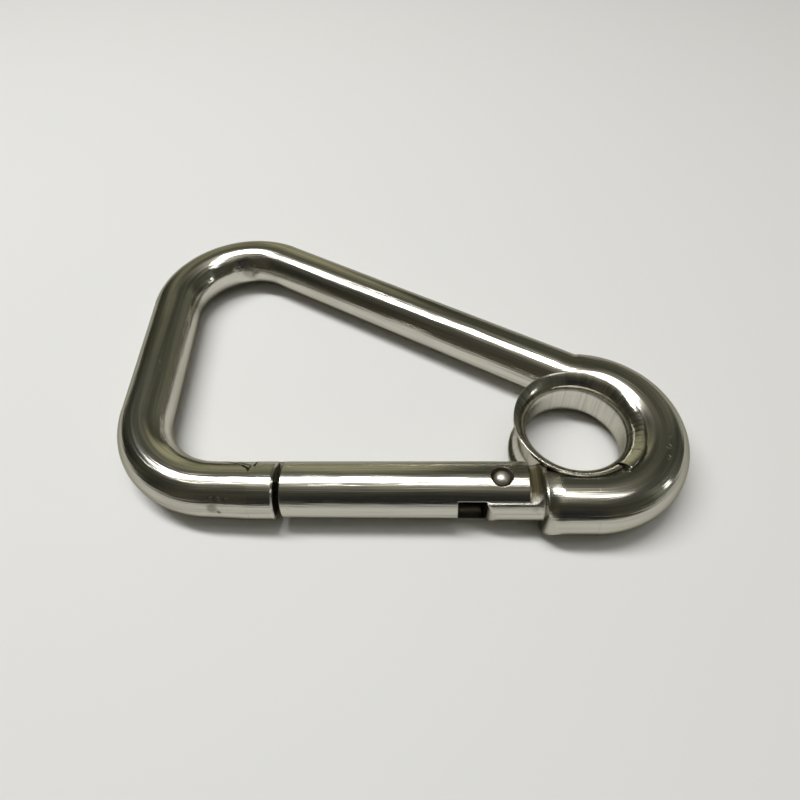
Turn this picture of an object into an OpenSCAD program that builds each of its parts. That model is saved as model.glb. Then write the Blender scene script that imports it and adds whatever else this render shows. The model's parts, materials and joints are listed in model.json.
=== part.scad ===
// Asymmetric spring hook (delta carabiner) with a round eye and a thimble.
// Units are millimetres. The origin is the centre of the thimble: X runs
// along the hook towards the eye, Y from the gate to the long arm, and Z is
// the axis of the thimble and of the gate's rivet. The mid-plane is z = 0.

/* [Overall size] */
// total length of the hook along X
overall_length = 120.2; // [96:0.2:144.4]
// diameter of the round bar
bar_d = 11;             // [9:0.1:13]
// distance from the thimble's axis to the gate's axis
gate_offset = 12.0;     // [11.2:0.1:13]
// angle between the long arm and the gate
arm_angle = 30.4;       // [26:0.2:34]
// outward lean of the end bar from square
end_lean = 4.4;         // [0:0.1:8]
// distance from the thimble's axis to the long arm's centreline
arm_offset = 13.9;      // [13.2:0.1:14.6]

/* [Bends] */
// centreline radius of the bend between nose and end bar
bend_a_radius = 19.2;   // [15:0.1:24]
// centreline radius of the bend between end bar and long arm
bend_b_radius = 17.2;   // [14:0.1:24]

/* [Nose] */
// diameter of the nose
nose_d = 11.4;          // [11:0.1:12]
// length over which the nose grows out of bend A
nose_taper = 8;         // [4:0.5:10]
// the nose's axis lies this far outside the gate's axis
nose_drop = 0.2;        // [0:0.05:0.3]

/* [Eye] */
// diameter of the upset bar around the eye
eye_bar_d = 12.1;       // [11.2:0.1:13.4]
// centreline radius of the eye
eye_radius = 14.5;      // [13.8:0.1:16]
// distance of the eye bend's centre from the thimble's axis
eye_shift = 1.5;        // [0:0.1:2.4]
// length over which the eye bar grows out of the arm
collar_len = 5;         // [3:0.5:8]
// end face of the shoulder, left of the thimble's axis
shoulder_x = 7.9;       // [7:0.1:9]
// outer corner radius of the shoulder
shoulder_round = 2.9;   // [1:0.1:3.4]
// hollow corner between shoulder and tongue
shoulder_fillet = 2.1;  // [1:0.1:2.2]

/* [Thimble] */
// radius of the thimble's throat
throat_r = 9.6;         // [8.4:0.1:9.8]
// wall of the thimble
thimble_wall = 0.9;     // [0.7:0.05:1.1]
// half the length of the straight throat
throat_half = 2.0;      // [1.5:0.1:2.6]
// flare radius inside each flange
flare_r = 4.6;          // [4:0.1:5.2]
// radius of the rims
rim_r = 12.3;           // [11.4:0.1:12.4]
// radius of the upper rim beside the seam, where it is pulled out
seam_rim_r = 13.4;      // [12.5:0.1:13.6]
// gap between thimble and eye
thimble_clear = 0.05;   // [0.02:0.01:0.1]
// direction of the seam
seam_angle = -57;       // [-80:1:-40]
// width of the seam in the throat
seam_gap = 0.35;        // [0.2:0.05:0.6]
// extra width of the seam at the rim
seam_flare = 1.1;       // [0:0.1:1.6]

/* [Gate] */
// pivot axis to the gate's plain free end
gate_reach = 41.7;      // [33:0.1:50]
// pivot axis to the thimble's axis, along X
pivot_x = 15.4;         // [15:0.1:17]
// gate beyond the pivot
gate_heel = 5.2;        // [4.6:0.1:5.4]
// inner corner radius of the gate's heel
heel_round = 3.4;       // [3:0.1:3.6]
// how far the outer side of the heel curves in
heel_taper = 1.0;       // [0.6:0.1:1.4]
// gap between the gate's end and the nose
nose_gap = 1.0;         // [0.6:0.05:1.4]
// edge chamfer of gate and nose
edge_chamfer = 0.35;    // [0.1:0.05:0.6]
// largest opening angle
open_angle = 30;        // [20:1:32]
// angle past the largest opening where the slot meets the tongue
stop_margin = 1.5;      // [1:0.1:3]

/* [Latch head] */
// length of the neck from the gate's end to the barb
neck_len = 5.4;         // [4:0.1:7]
// half thickness of the neck
neck_half = 2.4;        // [1.8:0.1:3]
// length of the barb
barb_len = 6.0;         // [4:0.1:7]
// half height of the barb at its shoulder
barb_half = 4.7;        // [4.2:0.05:4.9]
// half height of the barb at its tip
barb_tip = 2.7;         // [1.5:0.1:3.4]
// outer face of the head, inside the bar's axis
head_back = 0.3;        // [0:0.1:1]
// floor of the pocket, inside the bar's axis
pocket_floor = 0;       // [-1:0.1:0.5]
// clearance around the head
latch_clear = 0.4;      // [0.3:0.05:0.6]
// clearance behind the barb
barb_clear = 0.45;      // [0.4:0.05:0.7]

/* [Hinge] */
// thickness of the tongue
tongue_t = 6.5;         // [5.6:0.1:7]
// clearance on each side of the tongue
tongue_clear = 0.15;    // [0.08:0.01:0.25]
// inner face of the tongue from the pivot axis
tongue_in = 3.5;        // [3.3:0.05:3.7]
// gap between the tongue and the closed stop
stop_gap = 0.15;        // [0.08:0.01:0.25]
// reach of the tongue's tip past the pivot
tip_reach = 3.0;        // [2.5:0.1:3.2]
// how far the tongue stands out past the gate's surface
tongue_proud = 0.3;     // [0:0.05:0.5]
// plunger travel for each radian of opening
cam_k = 1.8;            // [1.4:0.05:1.9]
// length of the slot beyond the pivot
slot_len = 8.2;         // [7:0.1:9]
// diameter of the rivet
rivet_d = 3.0;          // [2.6:0.1:3.4]
// clearance between rivet and tongue
rivet_clear = 0.05;     // [0.02:0.01:0.1]
// diameter of the countersink around the rivet's heads
recess_d = 4.2;         // [3.8:0.1:4.6]
// depth of the countersink
recess_depth = 0.9;     // [0.6:0.05:1.1]
// height of a rivet head above the countersink
rivet_dome = 0.95;      // [0.6:0.05:1.1]

/* [Spring] */
// diameter of the plunger
plunger_d = 4.6;        // [4.2:0.1:4.8]
// clearance between plunger and bore
plunger_clear = 0.05;   // [0.02:0.01:0.1]
// length of the plunger's body
plunger_len = 10.5;     // [9.5:0.1:12]
// offset of the bore towards the inner side
bore_shift = 0.3;       // [0:0.05:0.5]
// depth of the bore beyond the slot
bore_len = 23;          // [20:0.5:27]
// wire diameter of the spring
wire_d = 0.6;           // [0.5:0.05:0.7]
// turns of the spring
turns = 9;              // [6:1:12]

/* [Hidden] */
$fn = 96;
r = bar_d / 2;
// pieces of one bar lap by this much, the bends a hair fuller
lap = 0.5;
swell = 0.03;
re = eye_bar_d / 2;
rn = nose_d / 2;
gy = -gate_offset;
px = -pivot_x;
// long arm: n is its outward normal and d runs along it to the eye
n = [sin(arm_angle), cos(arm_angle)];
d = [cos(arm_angle), -sin(arm_angle)];
// eye bend
ec = [eye_shift, 0];
x_min = ec[0] + eye_radius + re - overall_length;
// centre of bend B
bx = x_min + bend_b_radius + r;
by = (arm_offset - bend_b_radius - n[0] * bx) / n[1];
cb = [bx, by];
// outward normal of the end bar
o = [-cos(end_lean), -sin(end_lean)];
// centre of bend A
ay = gy + bend_a_radius;
ax = -(o * cb + bend_b_radius - bend_a_radius + sin(end_lean) * ay) / cos(end_lean);
ca = [ax, ay];
// the arm leaves the eye where the two centrelines cross
ed = arm_offset - n * ec;
foot = ec + ed * n;
half = sqrt(eye_radius * eye_radius - ed * ed);
arm_end = foot + half * d;
cross_deg = atan2((foot - half * d)[1] - ec[1], (foot - half * d)[0] - ec[0]);
// shoulder and tongue
sy = ec[1] - eye_radius;
gate_end = px - gate_reach;
nose_end = gate_end - nose_gap;
shoulder_len = ec[0] + lap + shoulder_x;
// flare of the thimble
fc = throat_r + flare_r;
seam_v = [cos(seam_angle), sin(seam_angle)];
seam_trim_r = seam_rim_r - 3.4;
slot_half = tongue_t / 2 + tongue_clear;
slot_in = tongue_in + stop_gap;
stop_deg = open_angle + stop_margin;
heel_arc = ((gate_heel + 3) * (gate_heel + 3) + heel_taper * heel_taper) / (2 * heel_taper);
wall_end = (slot_in * cos(stop_deg) - tongue_in) / sin(stop_deg);
recess_z = r - recess_depth;
// spring and plunger
bore_r = plunger_d / 2 + plunger_clear;
by0 = gy + bore_shift;
face_x = px - tip_reach - 0.03;
bore_end = px - slot_len - bore_len;
plunger_end = face_x - plunger_len;
spring_r = bore_r - 0.1 - wire_d / 2;
steel = [0.72, 0.72, 0.70];

function pol(c, rad, a) = [c[0] + rad * cos(a), c[1] + rad * sin(a)];

// a round bar between two points of the mid-plane, run on by e0 and e1
module rod(p, q, rad, e0, e1) {
    v = q - p;
    translate([p[0], p[1], 0]) rotate([0, 0, atan2(v[1], v[0])]) translate([-e0, 0, 0])
        rotate([0, 90, 0]) cylinder(r = rad, h = norm(v) + e0 + e1);
}

// a round bar bent about c from angle a0 to a1
module bend(c, rad, a0, a1, br) {
    translate([c[0], c[1], 0]) rotate([0, 0, a0])
        rotate_extrude(angle = a1 - a0) translate([rad, 0]) circle(r = br);
}

// a round bar along X with a chamfer at each end
module chamfered(x0, x1, rad, c0, c1, y = gy) {
    translate([0, y, 0]) rotate([0, 90, 0]) rotate_extrude()
        polygon([[0, x0], [rad - c0, x0], [rad, x0 + c0], [rad, x1 - c1], [rad - c1, x1], [0, x1]]);
}

// the eye bar growing out of the long arm
module collar() {
    p = foot - half * d;
    translate([p[0], p[1], 0]) rotate([0, 0, cross_deg + 90]) rotate([0, 90, 0])
        rotate_extrude() polygon([[0, -lap], [re - swell, -lap], [re - swell, 0], [r - 0.3, collar_len], [0, collar_len]]);
}

// the arrow of the latch, seen from the inner side; g widens it
module arrow(g, gb) {
    x0 = gate_end + 1;
    x1 = gate_end - neck_len;
    x2 = x1 - barb_len;
    polygon([[x0, neck_half + g], [x1 + gb, neck_half + g], [x1 + gb, barb_half + g],
             [x1 - 0.6, barb_half + g], [x2 + 1.2, barb_tip + 0.55 + g], [x2 - g, barb_tip - 1.2 + g],
             [x2 - g, -barb_tip + 1.2 - g], [x2 + 1.2, -barb_tip - 0.55 - g], [x1 - 0.6, -barb_half - g],
             [x1 + gb, -barb_half - g], [x1 + gb, -neck_half - g], [x0, -neck_half - g]]);
}

// plan of the tongue: the tip is an involute of radius cam_k, so the plunger
// moves in step with the gate
function cam(a) = let (h = tip_reach + cam_k * a * PI / 180)
    [px - h * cos(a) + cam_k * sin(a), gy + h * sin(a) + cam_k * cos(a)];
module tongue_plan() {
    f = 2.2;
    out = -r - tongue_proud;
    polygon(concat(
        [for (i = [0:10]) let (q = cam(open_angle * i / 10)) [q[0], min(q[1], gy + tongue_in)]],
        [[px - tip_reach + 1.2, gy + tongue_in], [-shoulder_x + 3, gy + tongue_in], [-shoulder_x + 3, gy + out],
         [px - tip_reach + f, gy + out]],
        [for (i = [1:7]) [px - tip_reach + f - f * sin(i * 90 / 8), gy + out + f - f * cos(i * 90 / 8)]],
        [[px - tip_reach, gy + out + f]]));
}

// what is trimmed off the flared ends: both rims are round, but the upper
// one is pulled out towards the seam on one side
module rim_trim(g) {
    for (k = [-1, 1]) translate([0, 0, k > 0 ? throat_half + 0.4 : -throat_half - 9.4]) difference() {
        cylinder(r = 17, h = 9);
        translate([0, 0, -1]) cylinder(r = rim_r + g, h = 11);
        if (k > 0) intersection() {
            translate([3.4 * seam_v[0], 3.4 * seam_v[1], -1]) cylinder(r = seam_trim_r + g, h = 11);
            rotate([0, 0, seam_angle]) translate([0, g > 0 ? -1 : 0, -1]) cube([17, 17, 11]);
        }
    }
}

// the space the thimble needs, grown by g
module thimble_space(g) {
    rt = throat_r + thimble_wall + g;
    ri = flare_r - thimble_wall - g;
    difference() {
        rotate_extrude() difference() {
            translate([0, -8]) square([seam_rim_r + 0.4, 16]);
            translate([rt, -throat_half]) square([9, 2 * throat_half]);
            for (k = [-1, 1]) translate([fc, k * throat_half]) circle(r = ri);
        }
        rim_trim(g);
    }
}

module frame() color(steel) {
    difference() {
        union() {
            // long arm
            rod(pol(cb, bend_b_radius, 90 - arm_angle), arm_end, r, lap, 0);
            bend(cb, bend_b_radius, 90 - arm_angle, 180 + end_lean, r + swell);
            rod(pol(ca, bend_a_radius, 180 + end_lean), pol(cb, bend_b_radius, 180 + end_lean), r, lap, lap);
            bend(ca, bend_a_radius, 180 + end_lean, 270, r + swell);
            // nose
            translate([ca[0], gy, 0]) rotate([0, 0, -atan2(nose_drop, nose_taper)]) translate([-lap, 0, 0])
                rotate([0, 90, 0]) cylinder(r1 = r, r2 = rn, h = nose_taper + lap);
            chamfered(ca[0] + nose_taper - lap, nose_end, rn - 0.03, 0.3, edge_chamfer, gy - nose_drop);
            // eye
            bend(ec, eye_radius, -90, cross_deg, re + swell);
            collar();
            // shoulder
            difference() {
                chamfered(-shoulder_x, ec[0] + lap, re, 0.3, 0.02, sy);
                difference() {
                    translate([-shoulder_x - 1, sy - re - 1, -re - 1]) cube([shoulder_round + 1, shoulder_round + 1, eye_bar_d + 2]);
                    translate([shoulder_round - shoulder_x, sy - re + shoulder_round + 0.05, -re - 2])
                        cylinder(r = shoulder_round, h = eye_bar_d + 4);
                }
            }
            // tongue
            intersection() {
                union() {
                    translate([0, 0, -tongue_t / 2]) linear_extrude(tongue_t) tongue_plan();
                    for (k = [-1, 1]) difference() {
                        f = shoulder_fillet;
                        translate([0.3 - shoulder_x - f, gy - r - 1, k > 0 ? tongue_t / 2 - 0.5 : 0.3 - tongue_t / 2 - f])
                            cube([f + 0.5, r + 1 + tongue_in, f + 0.2]);
                        translate([-shoulder_x - f, gy - r - 2, k * (tongue_t / 2 + f)]) rotate([-90, 0, 0])
                            cylinder(r = f, h = bar_d + 2);
                    }
                }
                translate([px - 8, gy - tongue_proud, 0]) rotate([0, 90, 0]) cylinder(r = r, h = 20);
            }
        }
        thimble_space(thimble_clear);
        // latch pocket, open to the inner side
        translate([0, gy + r + 1, 0]) rotate([90, 0, 0])
            linear_extrude(r + 1 - pocket_floor) arrow(latch_clear, barb_clear);
        // rivet hole
        translate([px, gy, -r]) cylinder(r = rivet_d / 2 + rivet_clear, h = bar_d);
    }
}

module gate() color(steel) {
    difference() {
        union() {
            chamfered(gate_end, px + gate_heel, r, edge_chamfer, edge_chamfer);
            intersection() {
                translate([0, gy + r, 0]) rotate([90, 0, 0]) linear_extrude(r - head_back) arrow(0, 0);
                translate([gate_end - 16, gy, 0]) rotate([0, 90, 0]) cylinder(r = r - 0.05, h = 18);
            }
        }
        // slot for the tongue
        translate([px - slot_len, gy - r - 1, -slot_half])
            cube([slot_len + gate_heel + 1, r + 1 + slot_in, 2 * slot_half]);
        translate([px + wall_end, gy - r - 1, -slot_half])
            cube([gate_heel - wall_end + 1, bar_d + 2, 2 * slot_half]);
        // heel: round inside, curved in outside
        difference() {
            translate([px + gate_heel - heel_round, gy + r - heel_round, -r - 1]) cube([heel_round + 1, heel_round + 1, bar_d + 2]);
            translate([px + gate_heel - heel_round, gy + r - heel_round - 0.05, -r - 2]) cylinder(r = heel_round, h = bar_d + 4);
        }
        difference() {
            translate([px - 3, gy - r - 2, -r - 1]) cube([gate_heel + 4, 4, bar_d + 2]);
            translate([px - 3, gy - r + heel_arc + 0.03, -r - 2]) cylinder(r = heel_arc, h = bar_d + 4, $fn = 360);
        }
        // bore for the spring
        translate([bore_end, by0, 0]) rotate([0, 90, 0]) cylinder(r = bore_r, h = bore_len + 1);
        // rivet hole and its recesses
        translate([px, gy, -r - 1]) cylinder(r = rivet_d / 2 + 0.01, h = bar_d + 2);
        for (k = [0, 1]) translate([px, gy, 0]) mirror([0, 0, k]) rotate_extrude()
            polygon([[0, recess_z], [rivet_d / 2 + 0.02, recess_z], [recess_d / 2, recess_z + recess_depth / 2],
                     [recess_d / 2, r + 1], [0, r + 1]]);
    }
}

module pivot_rivet() color(steel) {
    dr = (rivet_d * rivet_d / 4 + rivet_dome * rivet_dome) / (2 * rivet_dome);
    translate([px, gy, 0]) {
        cylinder(d = rivet_d, h = 2 * recess_z, center = true);
        for (s = [-1, 1]) intersection() {
            translate([0, 0, s * (recess_z + rivet_dome - dr)]) sphere(r = dr);
            translate([0, 0, s * (recess_z + 2) ]) cylinder(d = rivet_d + 2, h = 4, center = true);
        }
    }
}

module spring_plunger() color(steel) {
    translate([0, by0, 0]) rotate([0, 90, 0]) rotate_extrude()
        polygon([[0, plunger_end - 3], [spring_r - wire_d / 2 - 0.15, plunger_end - 3],
                 [spring_r - wire_d / 2 - 0.15, plunger_end], [plunger_d / 2 - 0.2, plunger_end],
                 [plunger_d / 2, plunger_end + 0.2], [plunger_d / 2, face_x - 0.2],
                 [plunger_d / 2 - 0.2, face_x], [0, face_x]]);
}

// a compression spring: the end turns lie close, the others are open
module gate_spring() color(steel) {
    x0 = bore_end + wire_d / 2 + 0.05;
    x1 = plunger_end - wire_d / 2 - 0.05;
    close = wire_d * 1.05;
    open = (x1 - x0 - 2 * close) / (turns - 2);
    per = 12;
    sides = 6;
    n = turns * per;
    at = [for (i = [0:n]) let (t = i / per)
        t < 1 ? x0 + close * t : t < turns - 1 ? x0 + close + open * (t - 1) : x1 - close * (turns - t)];
    points = [for (i = [0:n], k = [0:sides - 1])
        let (a = 360 * i / per, b = 360 * k / sides, q = spring_r + wire_d / 2 * cos(b))
        [at[i] + wire_d / 2 * sin(b), by0 + q * cos(a), q * sin(a)]];
    faces = concat([[for (k = [0:sides - 1]) k]], [[for (k = [sides - 1:-1:0]) n * sides + k]],
        [for (i = [0:n - 1], k = [0:sides - 1], s = [0, 1])
            let (u = i * sides + k, v = i * sides + (k + 1) % sides)
            s == 0 ? [u, u + sides, v + sides] : [u, v + sides, v]]);
    polyhedron(points, faces);
}

module thimble() color(steel) {
    difference() {
        rotate_extrude() difference() {
            translate([throat_r, -throat_half - flare_r - 0.2]) square([seam_rim_r + 0.2 - throat_r, 2 * (throat_half + flare_r + 0.2)]);
            // flared mouths
            for (k = [-1, 1]) difference() {
                translate([throat_r - 1, k > 0 ? throat_half : -throat_half - flare_r - 1]) square([flare_r + 1, flare_r + 1]);
                translate([fc, k * throat_half]) circle(r = flare_r, $fn = 48);
            }
            // groove
            translate([throat_r + thimble_wall, -throat_half]) square([flare_r, 2 * throat_half]);
            for (k = [-1, 1]) translate([fc, k * throat_half]) circle(r = flare_r - thimble_wall, $fn = 48);
        }
        rim_trim(0);
        // seam
        rotate([0, 0, seam_angle]) translate([0, 0, -9]) linear_extrude(18)
            polygon([[0, -seam_gap / 2], [throat_r + 0.5, -seam_gap / 2], [seam_rim_r + 1, -seam_gap / 2 - seam_flare / 2],
                     [seam_rim_r + 1, seam_gap / 2 + seam_flare / 2], [throat_r + 0.5, seam_gap / 2], [0, seam_gap / 2]]);
    }
}

frame();
gate();
pivot_rivet();
spring_plunger();
gate_spring();
thimble();
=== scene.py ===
# %% [markdown]
# # A steel carabiner hook with an eye thimble
# The hook has six pieces: a bent bar with its eye, a hinged gate, the gate's
# rivet, a plunger and a coil spring inside the gate, and a thimble in the
# eye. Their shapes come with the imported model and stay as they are, except
# that the spring shortens as the gate opens. This script adds a camera,
# lamps, a floor and the finish of the steel. The box of the bare model is
# kept, so that the finished one can be compared with it.

# %% Load the hook
import json
import math

import bpy
from mathutils import Matrix, Vector


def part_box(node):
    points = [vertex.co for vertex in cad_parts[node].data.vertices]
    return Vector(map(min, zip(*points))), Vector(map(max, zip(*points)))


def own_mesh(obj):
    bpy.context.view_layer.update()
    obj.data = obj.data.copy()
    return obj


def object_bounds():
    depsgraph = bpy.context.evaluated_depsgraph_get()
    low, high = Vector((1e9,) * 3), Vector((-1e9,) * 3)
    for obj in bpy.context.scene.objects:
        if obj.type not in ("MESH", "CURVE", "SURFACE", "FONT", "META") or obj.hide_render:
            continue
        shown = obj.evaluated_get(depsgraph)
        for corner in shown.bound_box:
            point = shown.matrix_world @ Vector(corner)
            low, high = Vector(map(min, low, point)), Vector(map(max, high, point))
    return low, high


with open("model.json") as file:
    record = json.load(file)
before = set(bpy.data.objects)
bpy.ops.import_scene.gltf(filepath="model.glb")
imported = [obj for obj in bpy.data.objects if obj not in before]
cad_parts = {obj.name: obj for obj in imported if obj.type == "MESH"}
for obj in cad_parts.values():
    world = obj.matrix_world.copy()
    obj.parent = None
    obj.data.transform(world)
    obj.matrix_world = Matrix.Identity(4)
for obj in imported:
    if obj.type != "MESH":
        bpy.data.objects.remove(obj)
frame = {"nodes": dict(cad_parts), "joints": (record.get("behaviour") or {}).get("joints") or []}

MM = 0.001
cad_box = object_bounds()
nodes = frame["nodes"]
joints = {joint["name"]: joint for joint in frame["joints"]}
print("pieces:", sorted(nodes), "joints:", sorted(joints))
print("box in mm:", [[round(v / MM, 1) for v in corner] for corner in cad_box])

# %% [markdown]
# ## The camera
# The hook is looked at from close by with a wide lens, so the near bars look
# thicker than the far ones. It could be aimed with a constraint, but the roll
# is easier to set when the camera's three axes are worked out from angles.
# The camera hangs in front of the gate and above it, turned a little to the
# left and rolled a little, and looks down at 52 degrees.

# %% Camera
CAMERA_PLACE = Vector((-27.72, -64.87, 97.2)) * MM
NEAREST_SEEN = 0.005
FARTHEST_SEEN = 50

def camera_at(place, yaw, down, roll, lens):
    """A camera turned right by yaw, tipped down and rolled, all in degrees."""
    yaw, down, roll = (math.radians(angle) for angle in (yaw, down, roll))
    forward = Vector((math.sin(yaw) * math.cos(down), math.cos(yaw) * math.cos(down), -math.sin(down)))
    level_right = Vector((math.cos(yaw), -math.sin(yaw), 0))
    level_up = level_right.cross(forward)
    right = math.cos(roll) * level_right + math.sin(roll) * level_up
    up = math.cos(roll) * level_up - math.sin(roll) * level_right
    cam = bpy.data.objects.new("camera", bpy.data.cameras.new("camera"))
    cam.matrix_world = Matrix((right, up, -forward)).transposed().to_4x4()
    cam.location = place
    cam.data.lens = lens
    cam.data.clip_start = NEAREST_SEEN
    cam.data.clip_end = FARTHEST_SEEN
    bpy.context.collection.objects.link(cam)
    bpy.context.scene.camera = cam
    return cam

camera = camera_at(CAMERA_PLACE, yaw=-5.70, down=52.3, roll=-4.95, lens=25.53)
bpy.context.scene.view_settings.view_transform = "Standard"
print("camera", [round(v / MM, 1) for v in camera.location], "mm, lens", camera.data.lens)

# %% [markdown]
# ## Wiring helpers
# Every finish below is wired from small nodes. A few short helpers keep that
# wiring readable: they add a node and fill its sockets, do a sum with
# numbers or with vectors, and blend two colours or two directions. A value
# can be a number or another node's output. The Mix node keeps the sockets
# for numbers, vectors and colours in one list, so these are picked by number.

# %% Nodes and sums
NUMBER_RESULTS = ("DOT_PRODUCT", "DISTANCE", "LENGTH")

def wire(tree, socket, value):
    if isinstance(value, bpy.types.NodeSocket):
        tree.links.new(value, socket)
    else:
        socket.default_value = value

def add(tree, kind, sockets=None, **settings):
    """One new node: its settings by keyword, its sockets by name or number."""
    node = tree.nodes.new("ShaderNode" + kind)
    for name, value in settings.items():
        setattr(node, name, value)
    for name, value in (sockets or {}).items():
        wire(tree, node.inputs[name], value)
    return node

def maths(tree, operation, a, b=0.0, c=0.0, clamp=False):
    node = add(tree, "Math", {0: a, 1: b, 2: c}, operation=operation, use_clamp=clamp)
    return node.outputs[0]

def vector_maths(tree, operation, a, b=(0, 0, 0)):
    node = add(tree, "VectorMath", {0: a, 1: b}, operation=operation)
    return node.outputs["Value" if operation in NUMBER_RESULTS else "Vector"]

def scaled(tree, vector, size):
    return add(tree, "VectorMath", {0: vector, "Scale": size}, operation="SCALE").outputs["Vector"]

print("sums ready, for numbers and for vectors")

# %% Blends and steps
MIX_AMOUNT = 0
VECTORS_IN = (4, 5)
VECTOR_OUT = 1
COLOURS_IN = (6, 7)
COLOUR_OUT = 2

def blend(tree, amount, a, b, how="MIX"):
    """Colour a turned into colour b by an amount, or b added to a."""
    node = add(tree, "Mix", {MIX_AMOUNT: amount}, data_type="RGBA", blend_type=how)
    for socket, colour in zip(COLOURS_IN, (a, b)):
        wire(tree, node.inputs[socket], colour if isinstance(colour, bpy.types.NodeSocket) else (*colour, 1))
    return node.outputs[COLOUR_OUT]

def blend_vectors(tree, amount, a, b):
    node = add(tree, "Mix", {MIX_AMOUNT: amount}, data_type="VECTOR")
    for socket, vector in zip(VECTORS_IN, (a, b)):
        wire(tree, node.inputs[socket], vector)
    return node.outputs[VECTOR_OUT]

def between(tree, value, low, high):
    """0 where the value is at low, 1 where it is at high, smooth in between."""
    node = add(tree, "MapRange", {"Value": value, "From Min": low, "From Max": high},
               interpolation_type="SMOOTHSTEP")
    return node.outputs["Result"]

print("blends ready, for colours and for directions")

# %% [markdown]
# ## The floor
# Polished steel mostly shows what stands around it, so the floor matters
# twice: it carries the shadow, and it is the pale band along the lower half
# of every bar. A plane would do, but its corners could show in low views. So
# it is a large plain disc just under the hook. The helper that makes its
# plain material serves the steel later.

# %% Plain material
def new_material(name, colour, roughness, metallic=0.0):
    material = bpy.data.materials.new(name)
    material.use_nodes = True
    shine = material.node_tree.nodes["Principled BSDF"]
    shine.inputs["Base Color"].default_value = (*colour, 1)
    shine.inputs["Roughness"].default_value = roughness
    shine.inputs["Metallic"].default_value = metallic
    return material, shine

PALE = (0.80, 0.80, 0.79)
pale, _ = new_material("pale_floor", PALE, roughness=0.7)
print("material:", pale.name)

# %% Floor
import bmesh

FLOOR_RADIUS = 6
FLOOR_SIDES = 96
floor_z = cad_box[0].z
bm = bmesh.new()
bmesh.ops.create_circle(bm, cap_ends=True, radius=FLOOR_RADIUS, segments=FLOOR_SIDES)
mesh = bpy.data.meshes.new("floor")
bm.to_mesh(mesh)
bm.free()
mesh.materials.append(pale)
floor = bpy.data.objects.new("floor", mesh)
floor.location.z = floor_z
bpy.context.collection.objects.link(floor)
print("floor at", round(floor_z / MM, 2), "mm")

# %% [markdown]
# ## Lamps
# One wide soft panel hangs overhead, to the left of the hook and a little
# behind it. Its reflection is the white strip along the top of each bar, and
# it drops the short soft shadow on the near side. A second, dimmer strip to
# the right lights the rivet and the lip of the thimble. A small window, low
# on the right and aimed at the thimble, lights the outside of the eye. Area
# lamps are used, because steel shows the shape of its lamps, and a point
# lamp would show as a dot.

# %% Lamps
LAMP_HEIGHT = 0.70
LAMP_TURN = -12
STRIP_TURN = LAMP_TURN - 10
lamp_middle = Vector((-0.27, 0.130, LAMP_HEIGHT))
strip_middle = Vector((0.24, -0.08, LAMP_HEIGHT))
window_middle = Vector((0.92, -0.17, 0.26))
thimble_middle = Vector((0, 0, 0))

def soft_panel(name, place, size, brightness, turn=0):
    """A flat panel facing straight down. Its power follows from its size and its brightness."""
    width, depth = size
    panel = bpy.data.lights.new(name, "AREA")
    panel.shape = "RECTANGLE"
    panel.size = width
    panel.size_y = depth
    panel.energy = math.pi * width * depth * brightness
    lamp = bpy.data.objects.new(name, panel)
    lamp.location = place
    lamp.rotation_euler.z = math.radians(turn)
    bpy.context.collection.objects.link(lamp)
    return lamp

soft_panel("overhead", lamp_middle, size=(0.70, 0.10), brightness=20.0, turn=LAMP_TURN)
soft_panel("side_strip", strip_middle, size=(0.30, 0.10), brightness=3.6, turn=STRIP_TURN)
window = soft_panel("side_window", window_middle, size=(0.10, 0.13), brightness=4.0)
window.rotation_euler = (thimble_middle - window_middle).to_track_quat("-Z", "Y").to_euler()

# %% [markdown]
# ## The room
# The dark bands in the steel are the room that stands round it. Walls could
# be built from panels, but a world whose light changes with direction does
# the same with two colour ramps. One runs round the horizon by compass
# angle: 0 is to the right, 90 is behind the hook. It is nearly black on the
# near side and olive on the far side. The other is the ceiling, by height
# above the horizon. Both angles are in degrees.

# %% Colours of the walls
WALLS = [
    (0, (0.12, 0.12, 0.10)),
    (14, (0.08, 0.08, 0.065)),
    (28, (0.06, 0.06, 0.05)),
    (42, (0.17, 0.17, 0.13)),
    (62, (0.12, 0.12, 0.09)),
    (86, (0.07, 0.07, 0.05)),
    (92, (0.42, 0.41, 0.28)),
    (104, (0.48, 0.47, 0.32)),
    (108, (0.20, 0.20, 0.13)),
    (113, (0.40, 0.39, 0.26)),
    (124, (0.22, 0.22, 0.15)),
    (130, (0.06, 0.06, 0.04)),
    (150, (0.05, 0.05, 0.036)),
    (172, (0.025, 0.025, 0.02)),
    (186, (0.07, 0.07, 0.05)),
    (200, (0.025, 0.024, 0.02)),
    (222, (0.08, 0.07, 0.05)),
    (246, (0.05, 0.046, 0.038)),
    (258, (0.025, 0.026, 0.028)),
    (284, (0.025, 0.026, 0.028)),
    (300, (0.07, 0.065, 0.05)),
    (332, (0.08, 0.08, 0.06)),
    (342, (0.22, 0.23, 0.19)),
    (352, (0.12, 0.12, 0.10)),
    (360, (0.12, 0.12, 0.10)),
]
print(len(WALLS), "colours round the walls")

# %% Colours of the ceiling
CEILING = [
    (0, (0.0, 0.0, 0.0)),
    (28, (0.0, 0.0, 0.0)),
    (50, (0.06, 0.06, 0.047)),
    (62, (0.16, 0.15, 0.12)),
    (74, (0.42, 0.40, 0.35)),
    (90, (0.88, 0.85, 0.78)),
]
print(len(CEILING), "colours up to the middle of the ceiling")

# %% Colour ramp
def ramp(tree, value, stops):
    """A colour that follows a value from 0 to 1. A stop is a position and a colour."""
    node = add(tree, "ValToRGB", {0: value})
    elements = node.color_ramp.elements
    elements[1].position = 1.0
    for _ in stops[2:]:
        elements.new(0.5)
    for k, (position, colour) in enumerate(stops):
        elements[k].position = position
        elements[k].color = (*colour, 1)
    return node.outputs[0]

print("ramp helper ready")

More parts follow.
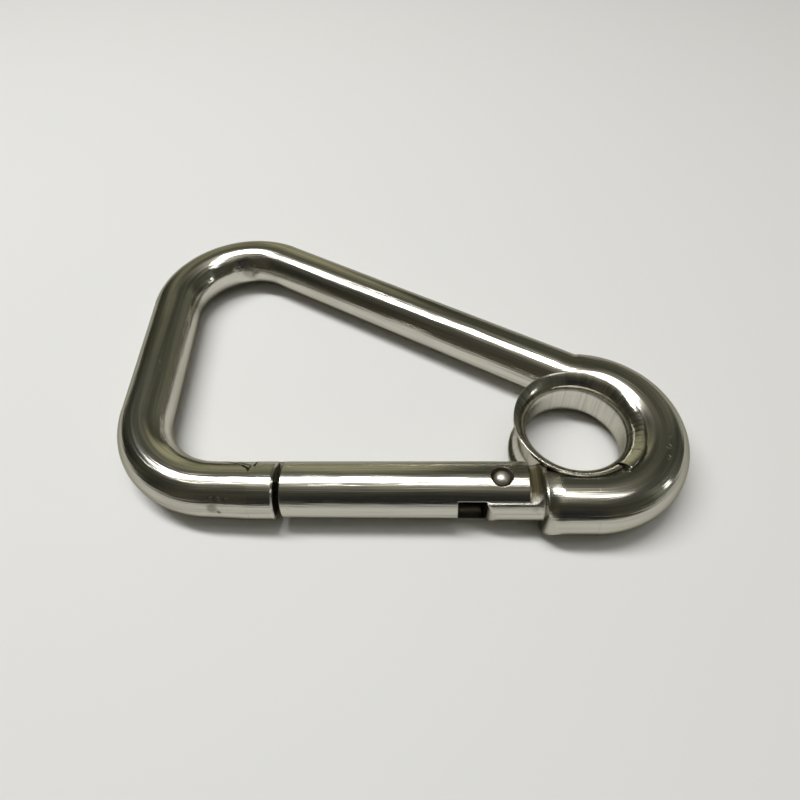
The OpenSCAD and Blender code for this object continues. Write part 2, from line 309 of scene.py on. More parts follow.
# %% [markdown]
# Round the overhead lamp the ceiling glows, as a white ceiling does round its
# lamp. The glow gives the white strip on each bar its soft border. It is an
# ellipse that lies level at the lamp's height and turned with the lamp. In a
# world, the Generated output is the direction that is looked in. It is
# followed up to that height, and what counts is how far out from the lamp it
# arrives, as a share of the ellipse's half axes.

# %% Glow round the overhead lamp
GLOW_REACH = (0.46, 0.21)
GLOW_COLOUR = (1.55, 1.52, 1.44)
LOWEST_GLOW = 0.05

def lamp_glow(tree, direction, upward):
    """1 towards the middle of the overhead lamp, 0 from the border of its glow outwards."""
    steps_up = maths(tree, "DIVIDE", LAMP_HEIGHT, maths(tree, "MAXIMUM", upward, LOWEST_GLOW))
    off_lamp = vector_maths(tree, "SUBTRACT", scaled(tree, direction, steps_up), lamp_middle)
    turned = add(tree, "VectorRotate", {"Vector": off_lamp, "Angle": math.radians(-LAMP_TURN)},
                 rotation_type="Z_AXIS").outputs[0]
    shares = add(tree, "Mapping", {"Vector": turned, "Scale": (1 / GLOW_REACH[0], 1 / GLOW_REACH[1], 1)},
                 vector_type="POINT").outputs[0]
    glow = between(tree, vector_maths(tree, "LENGTH", shares), 1.0, 0.0)
    return maths(tree, "MULTIPLY", glow, maths(tree, "GREATER_THAN", upward, LOWEST_GLOW))

print("glow reaches", GLOW_REACH, "m from the lamp's middle")

# %% Room
WALLS_FADE_FROM = 0.25
WALLS_FADE_TO = 0.62
BLACK = (0.0, 0.0, 0.0)

def room_light():
    """The world. Heights are shares of the way from the horizon to straight overhead."""
    world = bpy.data.worlds.new("room")
    bpy.context.scene.world = world
    world.use_nodes = True
    tree = world.node_tree
    direction = add(tree, "TexCoord").outputs["Generated"]
    way = add(tree, "SeparateXYZ", {0: direction}).outputs
    turns = maths(tree, "DIVIDE", maths(tree, "ARCTAN2", way["Y"], way["X"]), math.tau)
    height = maths(tree, "DIVIDE", maths(tree, "ARCSINE", way["Z"]), math.pi / 2)
    walls = ramp(tree, maths(tree, "FRACT", turns), [(angle / 360, colour) for angle, colour in WALLS])
    walls = blend(tree, between(tree, height, WALLS_FADE_FROM, WALLS_FADE_TO), walls, BLACK)
    ceiling = ramp(tree, height, [(angle / 90, colour) for angle, colour in CEILING])
    room = blend(tree, 1.0, walls, ceiling, "ADD")
    lit = blend(tree, lamp_glow(tree, direction, way["Z"]), room, GLOW_COLOUR)
    wire(tree, tree.nodes["Background"].inputs["Color"], lit)
    return world

print("world:", room_light().name)

# %% [markdown]
# ## Shared finishes
# The real hook was bent from drawn bar, tumbled and polished. Several effects
# come back on nearly every piece, so each one is a node group with its own
# inputs and outputs, placed in each material with that piece's values.

# %% Node group maker
def node_group(name, inputs, outputs):
    tree = bpy.data.node_groups.new(name, "ShaderNodeTree")
    for side, names in (("INPUT", inputs), ("OUTPUT", outputs)):
        for label, (kind, value) in names.items():
            socket = tree.interface.new_socket(label, in_out=side, socket_type="NodeSocket" + kind)
            if value is not None:
                socket.default_value = value
    print("group", name, "takes", list(inputs), "and gives", list(outputs))
    return tree, tree.nodes.new("NodeGroupInput").outputs, tree.nodes.new("NodeGroupOutput").inputs

def use(tree, group, **values):
    """A group placed in a material. Each keyword is an input's name without its capital."""
    node = tree.nodes.new("ShaderNodeGroup")
    node.node_tree = group
    for name, value in values.items():
        wire(tree, node.inputs[name.capitalize()], value)
    return node.outputs

def noise(tree, place, scale, detail=2.0, roughness=0.5, offset=0.0):
    """Smooth random values. A new offset gives a new pattern at the same scale."""
    sockets = {"Vector": place, "Scale": scale, "Detail": detail, "Roughness": roughness, "W": offset}
    return add(tree, "TexNoise", sockets, noise_dimensions="4D").outputs[0]

print("group maker ready")

# %% [markdown]
# *Lines along the bar.* Drawing and polishing leave faint lines that follow
# the bar round its bends. A stripe texture would run straight on where the
# bar turns. But the height of the surface normal says how far round the
# bar's section a point lies, and that angle is the same all along a line. A
# noise that changes fast with it, and slowly with place, gives such lines.

# %% Lines along the bar
LINE_INPUTS = {"Fineness": ("Float", 10.0), "Reach": ("Float", 30.0), "Seed": ("Float", 0.0)}

def line_noise(tree, x, y, z, seed):
    """The noise of fine lines, at a made-up place that moves fastest across them."""
    place = add(tree, "CombineXYZ", {"X": x, "Y": y, "Z": z}).outputs[0]
    return noise(tree, place, 1.0, detail=3.0, roughness=0.65, offset=seed)

bar_lines, given, out = node_group("Lines_along_the_bar", LINE_INPUTS, {"Height": ("Float", None)})
where = add(bar_lines, "TexCoord").outputs
spot = add(bar_lines, "SeparateXYZ", {0: where["Object"]}).outputs
facing = add(bar_lines, "SeparateXYZ", {0: where["Normal"]}).outputs
wire(bar_lines, out["Height"], line_noise(
    bar_lines,
    maths(bar_lines, "MULTIPLY", spot["X"], given["Reach"]),
    maths(bar_lines, "MULTIPLY", spot["Y"], given["Reach"]),
    maths(bar_lines, "MULTIPLY", maths(bar_lines, "ARCSINE", facing["Z"]), given["Fineness"]),
    given["Seed"]))

# %% [markdown]
# *Lines across a rolled strip.* The thimble was rolled up from strip, so its
# lines run the other way: down the throat and out over the flare. Here the
# compass angle of the surface normal takes the place of its height. Its
# cosine and sine are used, so that the pattern closes where the angle jumps.

# %% Lines down the throat
throat_lines, given, out = node_group("Lines_down_the_throat", LINE_INPUTS, {"Height": ("Float", None)})
where = add(throat_lines, "TexCoord").outputs
facing = add(throat_lines, "SeparateXYZ", {0: where["Normal"]}).outputs
spot = add(throat_lines, "SeparateXYZ", {0: where["Object"]}).outputs
compass = maths(throat_lines, "ARCTAN2", facing["Y"], facing["X"])
wire(throat_lines, out["Height"], line_noise(
    throat_lines,
    maths(throat_lines, "MULTIPLY", maths(throat_lines, "COSINE", compass), given["Fineness"]),
    maths(throat_lines, "MULTIPLY", maths(throat_lines, "SINE", compass), given["Fineness"]),
    maths(throat_lines, "MULTIPLY", spot["Z"], given["Reach"]),
    given["Seed"]))

# %% [markdown]
# *Spots.* Some marks are in one place only: a brown stain, the press mark in
# a bend. They could be painted on, but then the mesh has to be unwrapped
# first. A spot that is worked out from the distance to a point needs no
# unwrapping. It is a soft ball around that point, with a ragged rim.

# %% Spots
SPOT_CORE = 0.35
RIM_GRAIN = 700.0
spots, given, out = node_group("Spot",
    {"Centre": ("Vector", (0, 0, 0)), "Size": ("Float", 2 * MM), "Ragged": ("Float", 0.5)},
    {"Mask": ("Float", None)})
place = add(spots, "TexCoord").outputs["Object"]
away = maths(spots, "DIVIDE", vector_maths(spots, "DISTANCE", place, given["Centre"]), given["Size"])
wobble = maths(spots, "SUBTRACT", noise(spots, place, RIM_GRAIN, detail=3.0, roughness=0.6), 0.5)
away = maths(spots, "MULTIPLY_ADD", wobble, given["Ragged"], away)
wire(spots, out["Mask"], between(spots, away, 1.0, SPOT_CORE))

# %% [markdown]
# *Knocks.* Small pits and dings from use, a few to the centimetre. A plain
# noise would pit the steel all over. A cell pattern scatters them instead:
# each cell's own random colour says whether it has a pit at all, and how far
# that pit reaches, as a share of the cell.

# %% Knocks
PIT_REACH_LEAST = 0.05
PIT_REACH_SPREAD = 0.16
knocks, given, out = node_group("Knocks",
    {"Cells": ("Float", 320.0), "Share": ("Float", 0.6), "Scratched": ("Float", 1.0)},
    {"Dent": ("Float", None), "Scratch": ("Float", None)})
place = add(knocks, "TexCoord").outputs["Object"]
cells = add(knocks, "TexVoronoi", {"Vector": place, "Scale": given["Cells"], "Randomness": 1.0}).outputs
drawn = add(knocks, "SeparateColor", {0: cells["Color"]}).outputs
chosen = maths(knocks, "LESS_THAN", drawn[0], given["Share"])
reach = maths(knocks, "MULTIPLY_ADD", drawn[1], PIT_REACH_SPREAD, PIT_REACH_LEAST)
pit = maths(knocks, "SUBTRACT", 1.0, maths(knocks, "DIVIDE", cells["Distance"], reach), clamp=True)
wire(knocks, out["Dent"], maths(knocks, "MULTIPLY", chosen, maths(knocks, "MULTIPLY", pit, pit)))

# %% [markdown]
# The same group adds short scratches in three directions. Each is a noise
# stretched along one way and kept only where it crosses its middle value,
# which leaves thin lines. A second, coarser noise keeps them to patches.

# %% Scratches
SCRATCH_TURNS = ((0.3, 0.2, 0.5), (1.2, 0.4, 1.9), (0.6, 1.1, 2.8))
SCRATCH_STRETCH = (70, 1100, 1100)
SCRATCH_WIDTH = 0.010
PATCH_GRAIN = 130.0
PATCH_RIM = (0.72, 0.78)
scratch = 0.0
for k, turn in enumerate(SCRATCH_TURNS):
    laid = add(knocks, "Mapping", {"Vector": place, "Rotation": turn, "Scale": SCRATCH_STRETCH}).outputs[0]
    off_middle = maths(knocks, "SUBTRACT", noise(knocks, laid, 1.0, detail=0.0, offset=3.0 * k), 0.5)
    line = between(knocks, maths(knocks, "ABSOLUTE", off_middle), SCRATCH_WIDTH, 0.0)
    patch = between(knocks, noise(knocks, place, PATCH_GRAIN, detail=1.0, offset=7.0 + k), *PATCH_RIM)
    scratch = maths(knocks, "MAXIMUM", scratch, maths(knocks, "MULTIPLY", line, patch))
wire(knocks, out["Scratch"], maths(knocks, "MULTIPLY", scratch, given["Scratched"]))
print("scratches in", len(SCRATCH_TURNS), "directions")

# %% [markdown]
# *Soft edges.* No edge of a tumbled part is truly sharp. A bevel node rounds the shading of every edge by a
# small radius, which gives it the thin light line of a real edge. Where it turns the normal most, the edge is
# marked, and there its colour is lightened, partly as wear and partly as a painted highlight.

# %% Soft edges
BEVEL_SAMPLES = 6
EDGE_STARTS = 0.995
EDGE_FULL = 0.90
soft_edges, given, out = node_group("Soft_edges",
    {"Radius": ("Float", 0.3 * MM)},
    {"Normal": ("Vector", None), "Edge": ("Float", None)})
rounded = add(soft_edges, "Bevel", {"Radius": given["Radius"]}, samples=BEVEL_SAMPLES).outputs[0]
flat = add(soft_edges, "NewGeometry").outputs["Normal"]
agree = vector_maths(soft_edges, "DOT_PRODUCT", rounded, flat)
wire(soft_edges, out["Normal"], rounded)
wire(soft_edges, out["Edge"], between(soft_edges, agree, EDGE_STARTS, EDGE_FULL))

# %% [markdown]
# *Residue and shade in the corners.* Round the rivet, under the lip of the thimble and in the hinge, the
# colour is darkened brown-black. Partly this is polishing wax and rust dust that stay where the cloth never
# reached, and partly it is painted shade. An ambient occlusion node finds such places, and a noise breaks
# them up.

# %% Residue and painted shade in the corners
SKY_SAMPLES = 6
RESIDUE_AND_SHADE_GRAIN = 900.0
RESIDUE_AND_SHADE_PATCHES = 0.5
RESIDUE_AND_SHADE_FADE = 0.35
corner_residue_and_shade, given, out = node_group("Corner_residue_and_shade",
    {"Depth": ("Float", 1.5 * MM), "Spread": ("Float", 0.5)},
    {"Mask": ("Float", None)})
place = add(corner_residue_and_shade, "TexCoord").outputs["Object"]
# Little open sky round a point means a corner, and there the colour gets painted shade.
open_sky = add(corner_residue_and_shade, "AmbientOcclusion", {"Distance": given["Depth"]},
               samples=SKY_SAMPLES).outputs["AO"]
grains = noise(corner_residue_and_shade, place, RESIDUE_AND_SHADE_GRAIN, detail=3.0, roughness=0.6)
patchy = maths(corner_residue_and_shade, "MULTIPLY_ADD", grains, RESIDUE_AND_SHADE_PATCHES, -RESIDUE_AND_SHADE_PATCHES / 2)
hidden = maths(corner_residue_and_shade, "ADD", maths(corner_residue_and_shade, "SUBTRACT", 1.0, open_sky), patchy)
start = maths(corner_residue_and_shade, "SUBTRACT", 1.0, given["Spread"])
ending = maths(corner_residue_and_shade, "ADD", start, RESIDUE_AND_SHADE_FADE)
wire(corner_residue_and_shade, out["Mask"], between(corner_residue_and_shade, hidden, start, ending))

# %% [markdown]
# ## Steel
# Every piece is stainless steel, so one function makes its material, and the
# numbers tell the pieces apart. It first finds where each effect lies, as
# masks from 0 to 1. Three groups then turn the masks into the surface's
# colour, its dullness and its relief.
#
# *Colour.* Clean steel is lightened at the edges, as wear and as a painted highlight, then clouded, streaked
# and browned by stains and by painted shade. Last comes near black for polishing residue and painted shade.
# Each layer is laid over the one before it by its mask.

# %% Colour of the steel
STEEL = (0.60, 0.585, 0.515)
# Edges are lightened as wear and as a painted highlight.
EDGE_WEAR_AND_HIGHLIGHT = (0.75, 0.73, 0.68)
CLOUD = (0.30, 0.27, 0.20)
CLOUD_RIM = (0.5, 0.75)
CLOUD_STRENGTH = 0.22
STREAK = (0.16, 0.15, 0.115)
STREAK_RIM = (0.55, 0.30)
# Brown of real stains, and of the painted shade in the hollow by the hinge.
STAIN_AND_SHADE_BROWN = (0.12, 0.105, 0.06)
# Near black of polishing residue, and of the painted shade in corners, in the rivet's ring and in the latch
# groove.
RESIDUE_AND_SHADE_BLACK = (0.05, 0.04, 0.028)
NUMBER = ("Float", 0.0)

steel_colour, given, out = node_group("Steel_colour",
    {"Clean": ("Color", (*STEEL, 1)), "Edges": NUMBER, "Worn": NUMBER, "Clouds": NUMBER,
     "Lines": NUMBER, "Streaks": NUMBER, "Stain_and_shade_marks": NUMBER, "Residue_and_painted_shade": NUMBER},
    {"Colour": ("Color", None)})
bright = maths(steel_colour, "MULTIPLY", given["Edges"], given["Worn"])
worn = blend(steel_colour, bright, given["Clean"], EDGE_WEAR_AND_HIGHLIGHT)
cloudy = between(steel_colour, given["Clouds"], *CLOUD_RIM)
clouded = blend(steel_colour, maths(steel_colour, "MULTIPLY", cloudy, CLOUD_STRENGTH), worn, CLOUD)
in_lines = between(steel_colour, given["Lines"], *STREAK_RIM)
streaked = blend(steel_colour, maths(steel_colour, "MULTIPLY", in_lines, given["Streaks"]), clouded, STREAK)
browned = blend(steel_colour, given["Stain_and_shade_marks"], streaked, STAIN_AND_SHADE_BROWN)
wire(steel_colour, out["Colour"], blend(steel_colour, given["Residue_and_painted_shade"], browned, RESIDUE_AND_SHADE_BLACK))

# %% [markdown]
# *Dullness.* Perfect polish would show the lamp as a hard white bar. The fine lines and the clouds swing the
# dullness a little to both sides of the piece's own value, and the stains, the residue and the places of
# painted shade are much duller than steel.

# %% Dullness of the steel
CLOUD_DULL = 0.10
RESIDUE_AND_SHADE_BLACK_DULL = 0.35
STAIN_AND_SHADE_DULL = 0.5
SHINIEST = 0.05

steel_dullness, given, out = node_group("Steel_dullness",
    {"Dull": ("Float", 0.13), "Line_dull": NUMBER, "Lines": NUMBER, "Clouds": NUMBER,
     "Stain_and_shade_marks": NUMBER, "Residue_and_painted_shade": NUMBER},
    {"Roughness": ("Float", None)})
rough = maths(steel_dullness, "MULTIPLY_ADD", given["Line_dull"], -0.5, given["Dull"])
rough = maths(steel_dullness, "MULTIPLY_ADD", given["Lines"], given["Line_dull"], rough)
rough = maths(steel_dullness, "SUBTRACT", rough, CLOUD_DULL / 2)
rough = maths(steel_dullness, "MULTIPLY_ADD", given["Clouds"], CLOUD_DULL, rough)
rough = maths(steel_dullness, "MULTIPLY_ADD", given["Residue_and_painted_shade"], RESIDUE_AND_SHADE_BLACK_DULL, rough)
rough = maths(steel_dullness, "MULTIPLY_ADD", given["Stain_and_shade_marks"], STAIN_AND_SHADE_DULL, rough)
wire(steel_dullness, out["Roughness"], maths(steel_dullness, "MAXIMUM", rough, SHINIEST))

# %% [markdown]
# *Relief.* The fine lines, slow waves that bend the reflections, pits and
# scratches are heights in millimetres that add up for one bump node. The
# shapes that matter are in the mesh, and this is only what is too fine for
# it. Pits and scratches take height away, so they count as minus.

# %% Relief of the steel
WAVE_GRAIN = 95.0
SCRATCH_DEPTH = 0.006

steel_relief, given, out = node_group("Steel_relief",
    {"Lines": NUMBER, "Line_height": NUMBER, "Waves": NUMBER, "Pits": NUMBER, "Dents": NUMBER,
     "Scratches": NUMBER, "Seed": NUMBER},
    {"Height": ("Float", None)})
place = add(steel_relief, "TexCoord").outputs["Object"]
slow_waves = noise(steel_relief, place, WAVE_GRAIN, detail=1.0, roughness=0.4, offset=given["Seed"])
dents = maths(steel_relief, "MULTIPLY", given["Dents"], -1.0)
height = maths(steel_relief, "MULTIPLY", given["Lines"], given["Line_height"])
height = maths(steel_relief, "MULTIPLY_ADD", slow_waves, given["Waves"], height)
height = maths(steel_relief, "MULTIPLY_ADD", given["Pits"], dents, height)
height = maths(steel_relief, "MULTIPLY_ADD", given["Scratches"], -SCRATCH_DEPTH, height)
wire(steel_relief, out["Height"], height)

# %% [markdown]
# *One maker for all.* The masks are made here, once for each piece. The corners, the ring round the rivet and
# the latch groove are darkened as painted shade, and the corners also hold polishing residue, so these three
# are one mask. A colour that is the same all over, such as the tint of steel seen at a slant, is set right on
# the shader. A piece can bring its own way of smoothing the normal.

# %% Stains, painted shade and presses
STAIN_AND_SHADE_RAGGED = 0.7
PRESS_RAGGED = 0.35

def spot_at(tree, centre, size, ragged):
    """A spot's mask, from its centre and size in millimetres."""
    return use(tree, spots, centre=Vector(centre) * MM, size=size * MM, ragged=ragged)["Mask"]

def stain_and_shade_mask(tree, stain_and_shade_marks):
    """The strongest brown mark at each point, stains and painted shade alike. Each is a centre, a size and an
    amount.
    """
    browned = 0.0
    for centre, size, amount in stain_and_shade_marks:
        spot = maths(tree, "MULTIPLY", spot_at(tree, centre, size, STAIN_AND_SHADE_RAGGED), amount)
        browned = maths(tree, "MAXIMUM", spot, browned)
    return browned

def pressed_in(tree, height, presses):
    """The height with every press taken away. A press is a centre, a size and a depth."""
    for centre, size, depth in presses:
        spot = spot_at(tree, centre, size, PRESS_RAGGED)
        height = maths(tree, "MULTIPLY_ADD", spot, -depth, height)
    return height

print("stains and presses ready")

# %% Steel maker
STEEL_AT_A_SLANT = (0.45, 0.44, 0.38)
CLOUD_GRAIN = 45.0
GROOVE_DEPTH = 0.15

def steel(name, dull=0.13, colour=STEEL, seed=0.0, grain=bar_lines, lines=0.07, line_dull=0.08,
          fineness=8.0, streaks=0.25, waves=0.15, dents=0.05, edge=0.2, worn_edges=0.25,
          residue_and_shade=0.5, residue_and_shade_depth=1.5, stain_and_shade_marks=(), presses=(), smooth=None, ring=None, groove=None):
    """The steel of one piece. Sizes and heights are in millimetres, amounts are from 0 to 1."""
    material, shine = new_material(name, colour, dull, metallic=1.0)
    shine.inputs["Specular Tint"].default_value = (*STEEL_AT_A_SLANT, 1)
    tree = material.node_tree
    place = add(tree, "TexCoord").outputs["Object"]
    soft = use(tree, soft_edges, radius=edge * MM)
    normal, edges = soft["Normal"], soft["Edge"]
    if smooth:
        normal, edges = smooth(tree, normal, edges)
    # The rivet's ring and the latch groove are painted dark as shade, and the corners get residue and painted
    # shade.
    ringed = ring(tree, place) if ring else 0.0
    cut = groove(tree, place) if groove else 0.0
    residue_and_shade_mask = use(tree, corner_residue_and_shade, depth=residue_and_shade_depth * MM, spread=residue_and_shade)["Mask"]
    masks = {
        "lines": use(tree, grain, fineness=fineness, seed=seed)["Height"],
        "clouds": noise(tree, place, CLOUD_GRAIN, offset=seed + 2),
        "stain_and_shade_marks": stain_and_shade_mask(tree, stain_and_shade_marks),
        "residue_and_painted_shade": maths(tree, "MAXIMUM", maths(tree, "MAXIMUM", residue_and_shade_mask, ringed), cut),
    }
    tone = use(tree, steel_colour, clean=(*colour, 1), edges=edges, worn=worn_edges, streaks=streaks, **masks)
    rough = use(tree, steel_dullness, dull=dull, line_dull=line_dull, **masks)
    knock = use(tree, knocks)
    relief = use(tree, steel_relief, lines=masks["lines"], line_height=lines, waves=waves, seed=seed,
                 pits=knock["Dent"], dents=dents, scratches=knock["Scratch"])
    height = pressed_in(tree, relief["Height"], presses)
    height = maths(tree, "MULTIPLY_ADD", cut, -GROOVE_DEPTH, height)
    bump = add(tree, "Bump", {"Height": height, "Distance": MM, "Strength": 1.0, "Normal": normal})
    wire(tree, shine.inputs["Base Color"], tone["Colour"])
    wire(tree, shine.inputs["Roughness"], rough["Roughness"])
    wire(tree, shine.inputs["Normal"], bump.outputs[0])
    return material

print("steel maker ready")

# %% [markdown]
# ## Where the eye grows out of the arm
# On the real hook the bar swells smoothly into the thicker eye bar. The model
# has a plain cone there, which would break the highlight. So near that spot
# the shading normal is worked out anew: square to the arm's middle line on
# one side, square to the eye's middle circle on the other, blended between.
# The arm's line, the eye's circle, the hinge, the end of the shoulder and
# the end of the nose are placed first.

# %% Places on the bar
ARM_ANGLE = math.radians(30.4)
along_arm = Vector((math.cos(ARM_ANGLE), -math.sin(ARM_ANGLE), 0))
out_of_arm = Vector((math.sin(ARM_ANGLE), math.cos(ARM_ANGLE), 0))
arm_meets_eye = Vector((2.86, 14.43, 0)) * MM
eye_middle = Vector((1.5, 0, 0)) * MM
EYE_RADIUS = 14.5 * MM
hinge = Vector(joints["gate_hinge"]["pos_m"])
shoulder_end = Vector((-6.4, -14.5, 0)) * MM
latch_tip_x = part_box("gate")[0].x
NOSE_PAST_TIP = 11.0 * MM
nose_end_x = latch_tip_x + NOSE_PAST_TIP
print("eye middle", [round(v / MM, 2) for v in eye_middle], "nose ends at x", round(nose_end_x / MM, 2), "mm")

# %% Swell of the arm
SWELL_TURNS = (-5 * MM, 6 * MM)
SWELL_FULL = 8 * MM
SWELL_ENDS = 14 * MM
SWELL_FLOOR = -9 * MM

def swell(tree, place):
    """The way a smooth swell would face, and a mask that is 1 where the swell is."""
    from_joint = vector_maths(tree, "SUBTRACT", place, arm_meets_eye)
    run = vector_maths(tree, "DOT_PRODUCT", from_joint, along_arm)
    rise = vector_maths(tree, "DOT_PRODUCT", from_joint, out_of_arm)
    off_arm = vector_maths(tree, "SUBTRACT", from_joint, scaled(tree, along_arm, run))
    from_eye = vector_maths(tree, "SUBTRACT", place, eye_middle)
    level = vector_maths(tree, "NORMALIZE", vector_maths(tree, "MULTIPLY", from_eye, (1, 1, 0)))
    off_eye = vector_maths(tree, "SUBTRACT", from_eye, scaled(tree, level, EYE_RADIUS))
    faces = blend_vectors(tree, between(tree, run, *SWELL_TURNS),
                          vector_maths(tree, "NORMALIZE", off_arm), vector_maths(tree, "NORMALIZE", off_eye))
    before = between(tree, run, -SWELL_ENDS, -SWELL_FULL)
    after = between(tree, run, SWELL_ENDS, SWELL_FULL)
    outer = maths(tree, "GREATER_THAN", rise, SWELL_FLOOR)
    near = maths(tree, "MULTIPLY", maths(tree, "MULTIPLY", before, after), outer)
    return vector_maths(tree, "NORMALIZE", faces), near

print("the swell is smoothed for", round(SWELL_ENDS / MM), "mm each way")

# %% [markdown]
# The bar has real edges only at the hinge and at the nose, so the soft edges
# are kept to these two places. The shoulder beside the hinge ends in a flat
# face. On the real hook its rim is rounded off, so the skin of the last few
# millimetres is shaded as if it leaned towards that end.

# %% Real edges and the shoulder's rim
HINGE_EDGES = (15 * MM, 13 * MM)
NOSE_EDGES = (5 * MM, 4 * MM)
SKIN_FROM = 5.7 * MM
SKIN_TO = 6.3 * MM
RIM_ENDS = -1 * MM
RIM_FADE = (2.2 * MM, -0.8 * MM)
RIM_LEAN = 0.6

def real_edges(tree, place):
    """1 near the hinge and near the end of the nose."""
    to_hinge = vector_maths(tree, "LENGTH", vector_maths(tree, "SUBTRACT", place, hinge))
    to_nose = maths(tree, "SUBTRACT", add(tree, "SeparateXYZ", {0: place}).outputs["X"], nose_end_x)
    at_nose = between(tree, maths(tree, "ABSOLUTE", to_nose), *NOSE_EDGES)
    return maths(tree, "MAXIMUM", between(tree, to_hinge, *HINGE_EDGES), at_nose)

def shoulder_lean(tree, place):
    """What is added to the normal of the shoulder's skin near its flat end."""
    from_end = vector_maths(tree, "SUBTRACT", place, shoulder_end)
    out_by = vector_maths(tree, "LENGTH", vector_maths(tree, "MULTIPLY", from_end, (0, 1, 1)))
    skin = maths(tree, "MULTIPLY", maths(tree, "GREATER_THAN", out_by, SKIN_FROM),
                 maths(tree, "LESS_THAN", out_by, SKIN_TO))
    along = add(tree, "SeparateXYZ", {0: from_end}).outputs["X"]
    skin = maths(tree, "MULTIPLY", skin, maths(tree, "GREATER_THAN", along, RIM_ENDS))
    rounding = maths(tree, "MULTIPLY", between(tree, along, *RIM_FADE), RIM_LEAN)
    return scaled(tree, (-1, 0, 0), maths(tree, "MULTIPLY", skin, rounding))

print("edges are kept to x", round(hinge.x / MM, 1), "and", round(nose_end_x / MM, 1), "mm")

# %% Smooth joint of arm and eye
def smooth_joint(tree, rounded, edges):
    """The bar's shading normal and its worn edges."""
    place = add(tree, "TexCoord").outputs["Object"]
    flat = add(tree, "NewGeometry").outputs["Normal"]
    edged = real_edges(tree, place)
    normal = blend_vectors(tree, edged, flat, rounded)
    normal = vector_maths(tree, "NORMALIZE", vector_maths(tree, "ADD", normal, shoulder_lean(tree, place)))
    faces, near = swell(tree, place)
    return blend_vectors(tree, near, normal, faces), maths(tree, "MULTIPLY", edges, edged)

print("the bar's normal is smoothed at the joint")

# %% [markdown]
# ## Two painted dark lines
# The rivet's head sits in a round hollow, and the gap round it is painted dark as shade. On top of the nose
# the latch pocket shows as a thin V, painted as a dark line of shade and pressed in a little. The residue and
# painted shade in the corners alone would leave both too pale. So each is a mask of its own, worked out from
# the distance to a circle or to two straight lines.

# %% Painted shade round the rivet
RING_IN = (1.40 * MM, 1.55 * MM)
RING_OUT = (2.13 * MM, 2.03 * MM)

def rivet_ring(tree, place):
    """1 in the hollow round the rivet head, where shade is painted."""
    off = vector_maths(tree, "SUBTRACT", place, hinge)
    out_by = vector_maths(tree, "LENGTH", vector_maths(tree, "MULTIPLY", off, (1, 1, 0)))
    return maths(tree, "MULTIPLY", between(tree, out_by, *RING_IN), between(tree, out_by, *RING_OUT))

print("ring from", round(RING_IN[0] / MM, 2), "to", round(RING_OUT[0] / MM, 2), "mm off the rivet's middle")

# %% Latch groove, painted dark as shade
V_CORNER = (latch_tip_x + 5.4 * MM, 5.48 * MM)
V_ENDS = ((latch_tip_x + 6.7 * MM, 3.2 * MM), (latch_tip_x - 1.6 * MM, 3.2 * MM))
V_WIDTH = (0.14 * MM, 0.06 * MM)
V_OVERRUN = 0.1 * MM
V_REACH = 6 * MM

def v_line(tree, x, z, start, end):
    """1 on a thin line from start to end, both given as x and height."""
    run, drop = end[0] - start[0], end[1] - start[1]
    length = math.hypot(run, drop)
    dx = maths(tree, "SUBTRACT", x, start[0])
    dz = maths(tree, "SUBTRACT", z, start[1])
    across = maths(tree, "SUBTRACT", maths(tree, "MULTIPLY", dx, drop / length),
                   maths(tree, "MULTIPLY", dz, run / length))
    along = maths(tree, "ADD", maths(tree, "MULTIPLY", dx, run / length),
                  maths(tree, "MULTIPLY", dz, drop / length))
    line = between(tree, maths(tree, "ABSOLUTE", across), *V_WIDTH)
    line = maths(tree, "MULTIPLY", line, maths(tree, "GREATER_THAN", along, -V_OVERRUN))
    return maths(tree, "MULTIPLY", line, maths(tree, "LESS_THAN", along, length))

def latch_groove(tree, place):
    """1 on the thin V that the latch pocket shows on top of the nose, where shade is painted as a dark line.
    """
    at = add(tree, "SeparateXYZ", {0: place}).outputs
    rear, front = (v_line(tree, at["X"], at["Z"], V_CORNER, end) for end in V_ENDS)
    past_middle = maths(tree, "GREATER_THAN", at["Y"], hinge.y)
    on_nose = maths(tree, "LESS_THAN", at["Y"], hinge.y + V_REACH)
    cut = maths(tree, "MAXIMUM", rear, front)
    return maths(tree, "MULTIPLY", cut, maths(tree, "MULTIPLY", past_middle, on_nose))

print("V from x", round(V_ENDS[1][0] / MM, 1), "to", round(V_ENDS[0][0] / MM, 1), "mm")

# %% [markdown]
# ## Marks on the bar
# These are in one place each, so they are listed one by one: a centre and a size in millimetres, then how
# brown the mark or how deep the press is. The brown patch in the hollow by the hinge, between the gate's end
# and the shoulder, is painted shade. Stains lie on the near side of the nose, inside the far bend and on the
# end bar. The bending tools left flats inside the far bend. The rest are small dings on top of the eye and on
# the nose.

# %% Marks on the bar
BAR_STAIN_AND_SHADE_MARKS = [
    # The first mark is no stain: it is painted shade in the hollow between the gate's end and the shoulder.
    ((-8.8, -11.5, 2.5), 6.5, 1.0),
    ((-69.7, -17.2, 2.0), 1.5, 0.45),
    ((-68.6, -17.3, 1.2), 0.7, 0.7),
    ((-76.5, 52.5, 1.0), 3.0, 0.4),
    ((-87.9, 15.4, 4.7), 0.8, 0.15),
    ((-88.9, 17.4, 5.1), 0.5, 0.15),
]
BAR_PRESSES = [
    ((-77.3, 52.1, 1.2), 4.0, 0.35),
    ((-84.6, 48.6, 3.6), 2.2, 0.08),
    ((15.7, -6.0, 6.0), 0.7, 0.08),
    ((15.1, -8.3, 5.9), 0.6, 0.07),
    ((16.6, -3.6, 6.0), 0.5, 0.05),
    ((-70.0, -16.0, 3.9), 0.6, 0.06),
    ((-68.6, -16.1, 3.8), 0.8, 0.07),
    ((-66.9, -16.2, 3.8), 0.6, 0.05),
]
print(len(BAR_STAIN_AND_SHADE_MARKS), "stains and", len(BAR_PRESSES), "presses on the bar")

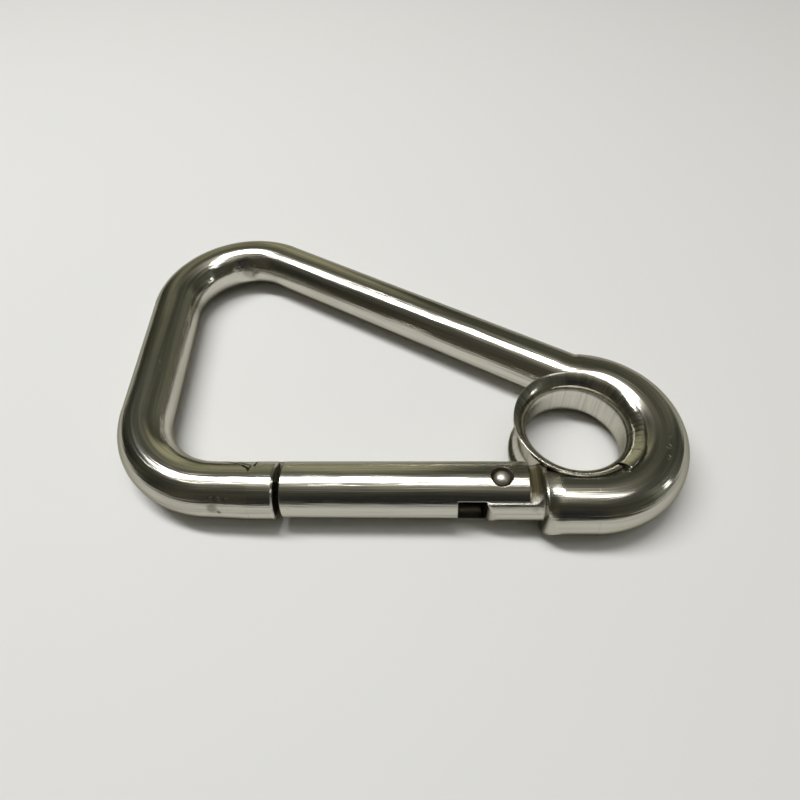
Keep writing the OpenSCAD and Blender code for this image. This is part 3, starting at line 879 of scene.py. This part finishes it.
# %% [markdown]
# ## The finish of each piece
# The bar is tumbled and polished, with slow waves. The gate was turned from straight bar, so its lines are
# finer. The rivet head was hammered over and is duller, and its pale colour is partly a painted highlight.
# The plunger and the spring hardly show, deep in the gate's bore, and the plunger's dark colour is painted
# shade. The thimble has the lines of rolled strip, and its lip is worn bright, with a painted highlight laid
# on its edges. A imported piece keeps its mesh and only gets a better material.

# %% Finishes
# The rivet's pale colour is partly a painted highlight.
RIVET_PALE_AND_HIGHLIT = (0.80, 0.78, 0.72)
# The plunger is darkened as painted shade, deep in the gate's bore.
PLUNGER_SHADED_DARK = (0.12, 0.115, 0.10)
finishes = {
    "frame": steel("polished_bar", dull=0.155, streaks=0.4, waves=0.11, dents=0.02, edge=0.8,
                   stain_and_shade_marks=BAR_STAIN_AND_SHADE_MARKS, presses=BAR_PRESSES, smooth=smooth_joint, groove=latch_groove),
    "gate": steel("turned_gate", dull=0.165, seed=5.0, lines=0.06, line_dull=0.16, fineness=12.0,
                  streaks=0.35, waves=0.10, edge=0.15, residue_and_shade=0.65, ring=rivet_ring),
    "pivot_rivet": steel("rivet_head", dull=0.40, colour=RIVET_PALE_AND_HIGHLIT, seed=9.0,
                         streaks=0.1, waves=0.03, residue_and_shade=0.05),
    "spring_plunger": steel("plunger_steel", dull=0.3, colour=PLUNGER_SHADED_DARK, seed=12.0, residue_and_shade=0.8),
    "gate_spring": steel("coiled_wire", dull=0.3, seed=14.0, lines=0.0),
    # The thimble's lip is lightened strongly at its edges, partly as wear and partly as a painted highlight.
    "thimble": steel("rolled_thimble", dull=0.14, seed=17.0, grain=throat_lines, lines=0.06,
                     line_dull=0.25, fineness=16.0, streaks=0.4, edge=0.35, worn_edges=0.9,
                     residue_and_shade_depth=2.5),
}
for name, piece in nodes.items():
    piece.data.materials.clear()
    piece.data.materials.append(finishes[name])
    print(name, "is finished in", finishes[name].name)

# %% [markdown]
# ## The spring gives way
# As the gate opens, the plunger slides back and presses the coil spring
# together against the blind end of its bore. Left stiff, the spring would
# stick through the plunger. So it shortens towards that end by the plunger's
# travel. The travel and the bore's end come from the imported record.

# %% Spring
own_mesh(nodes["gate_spring"])
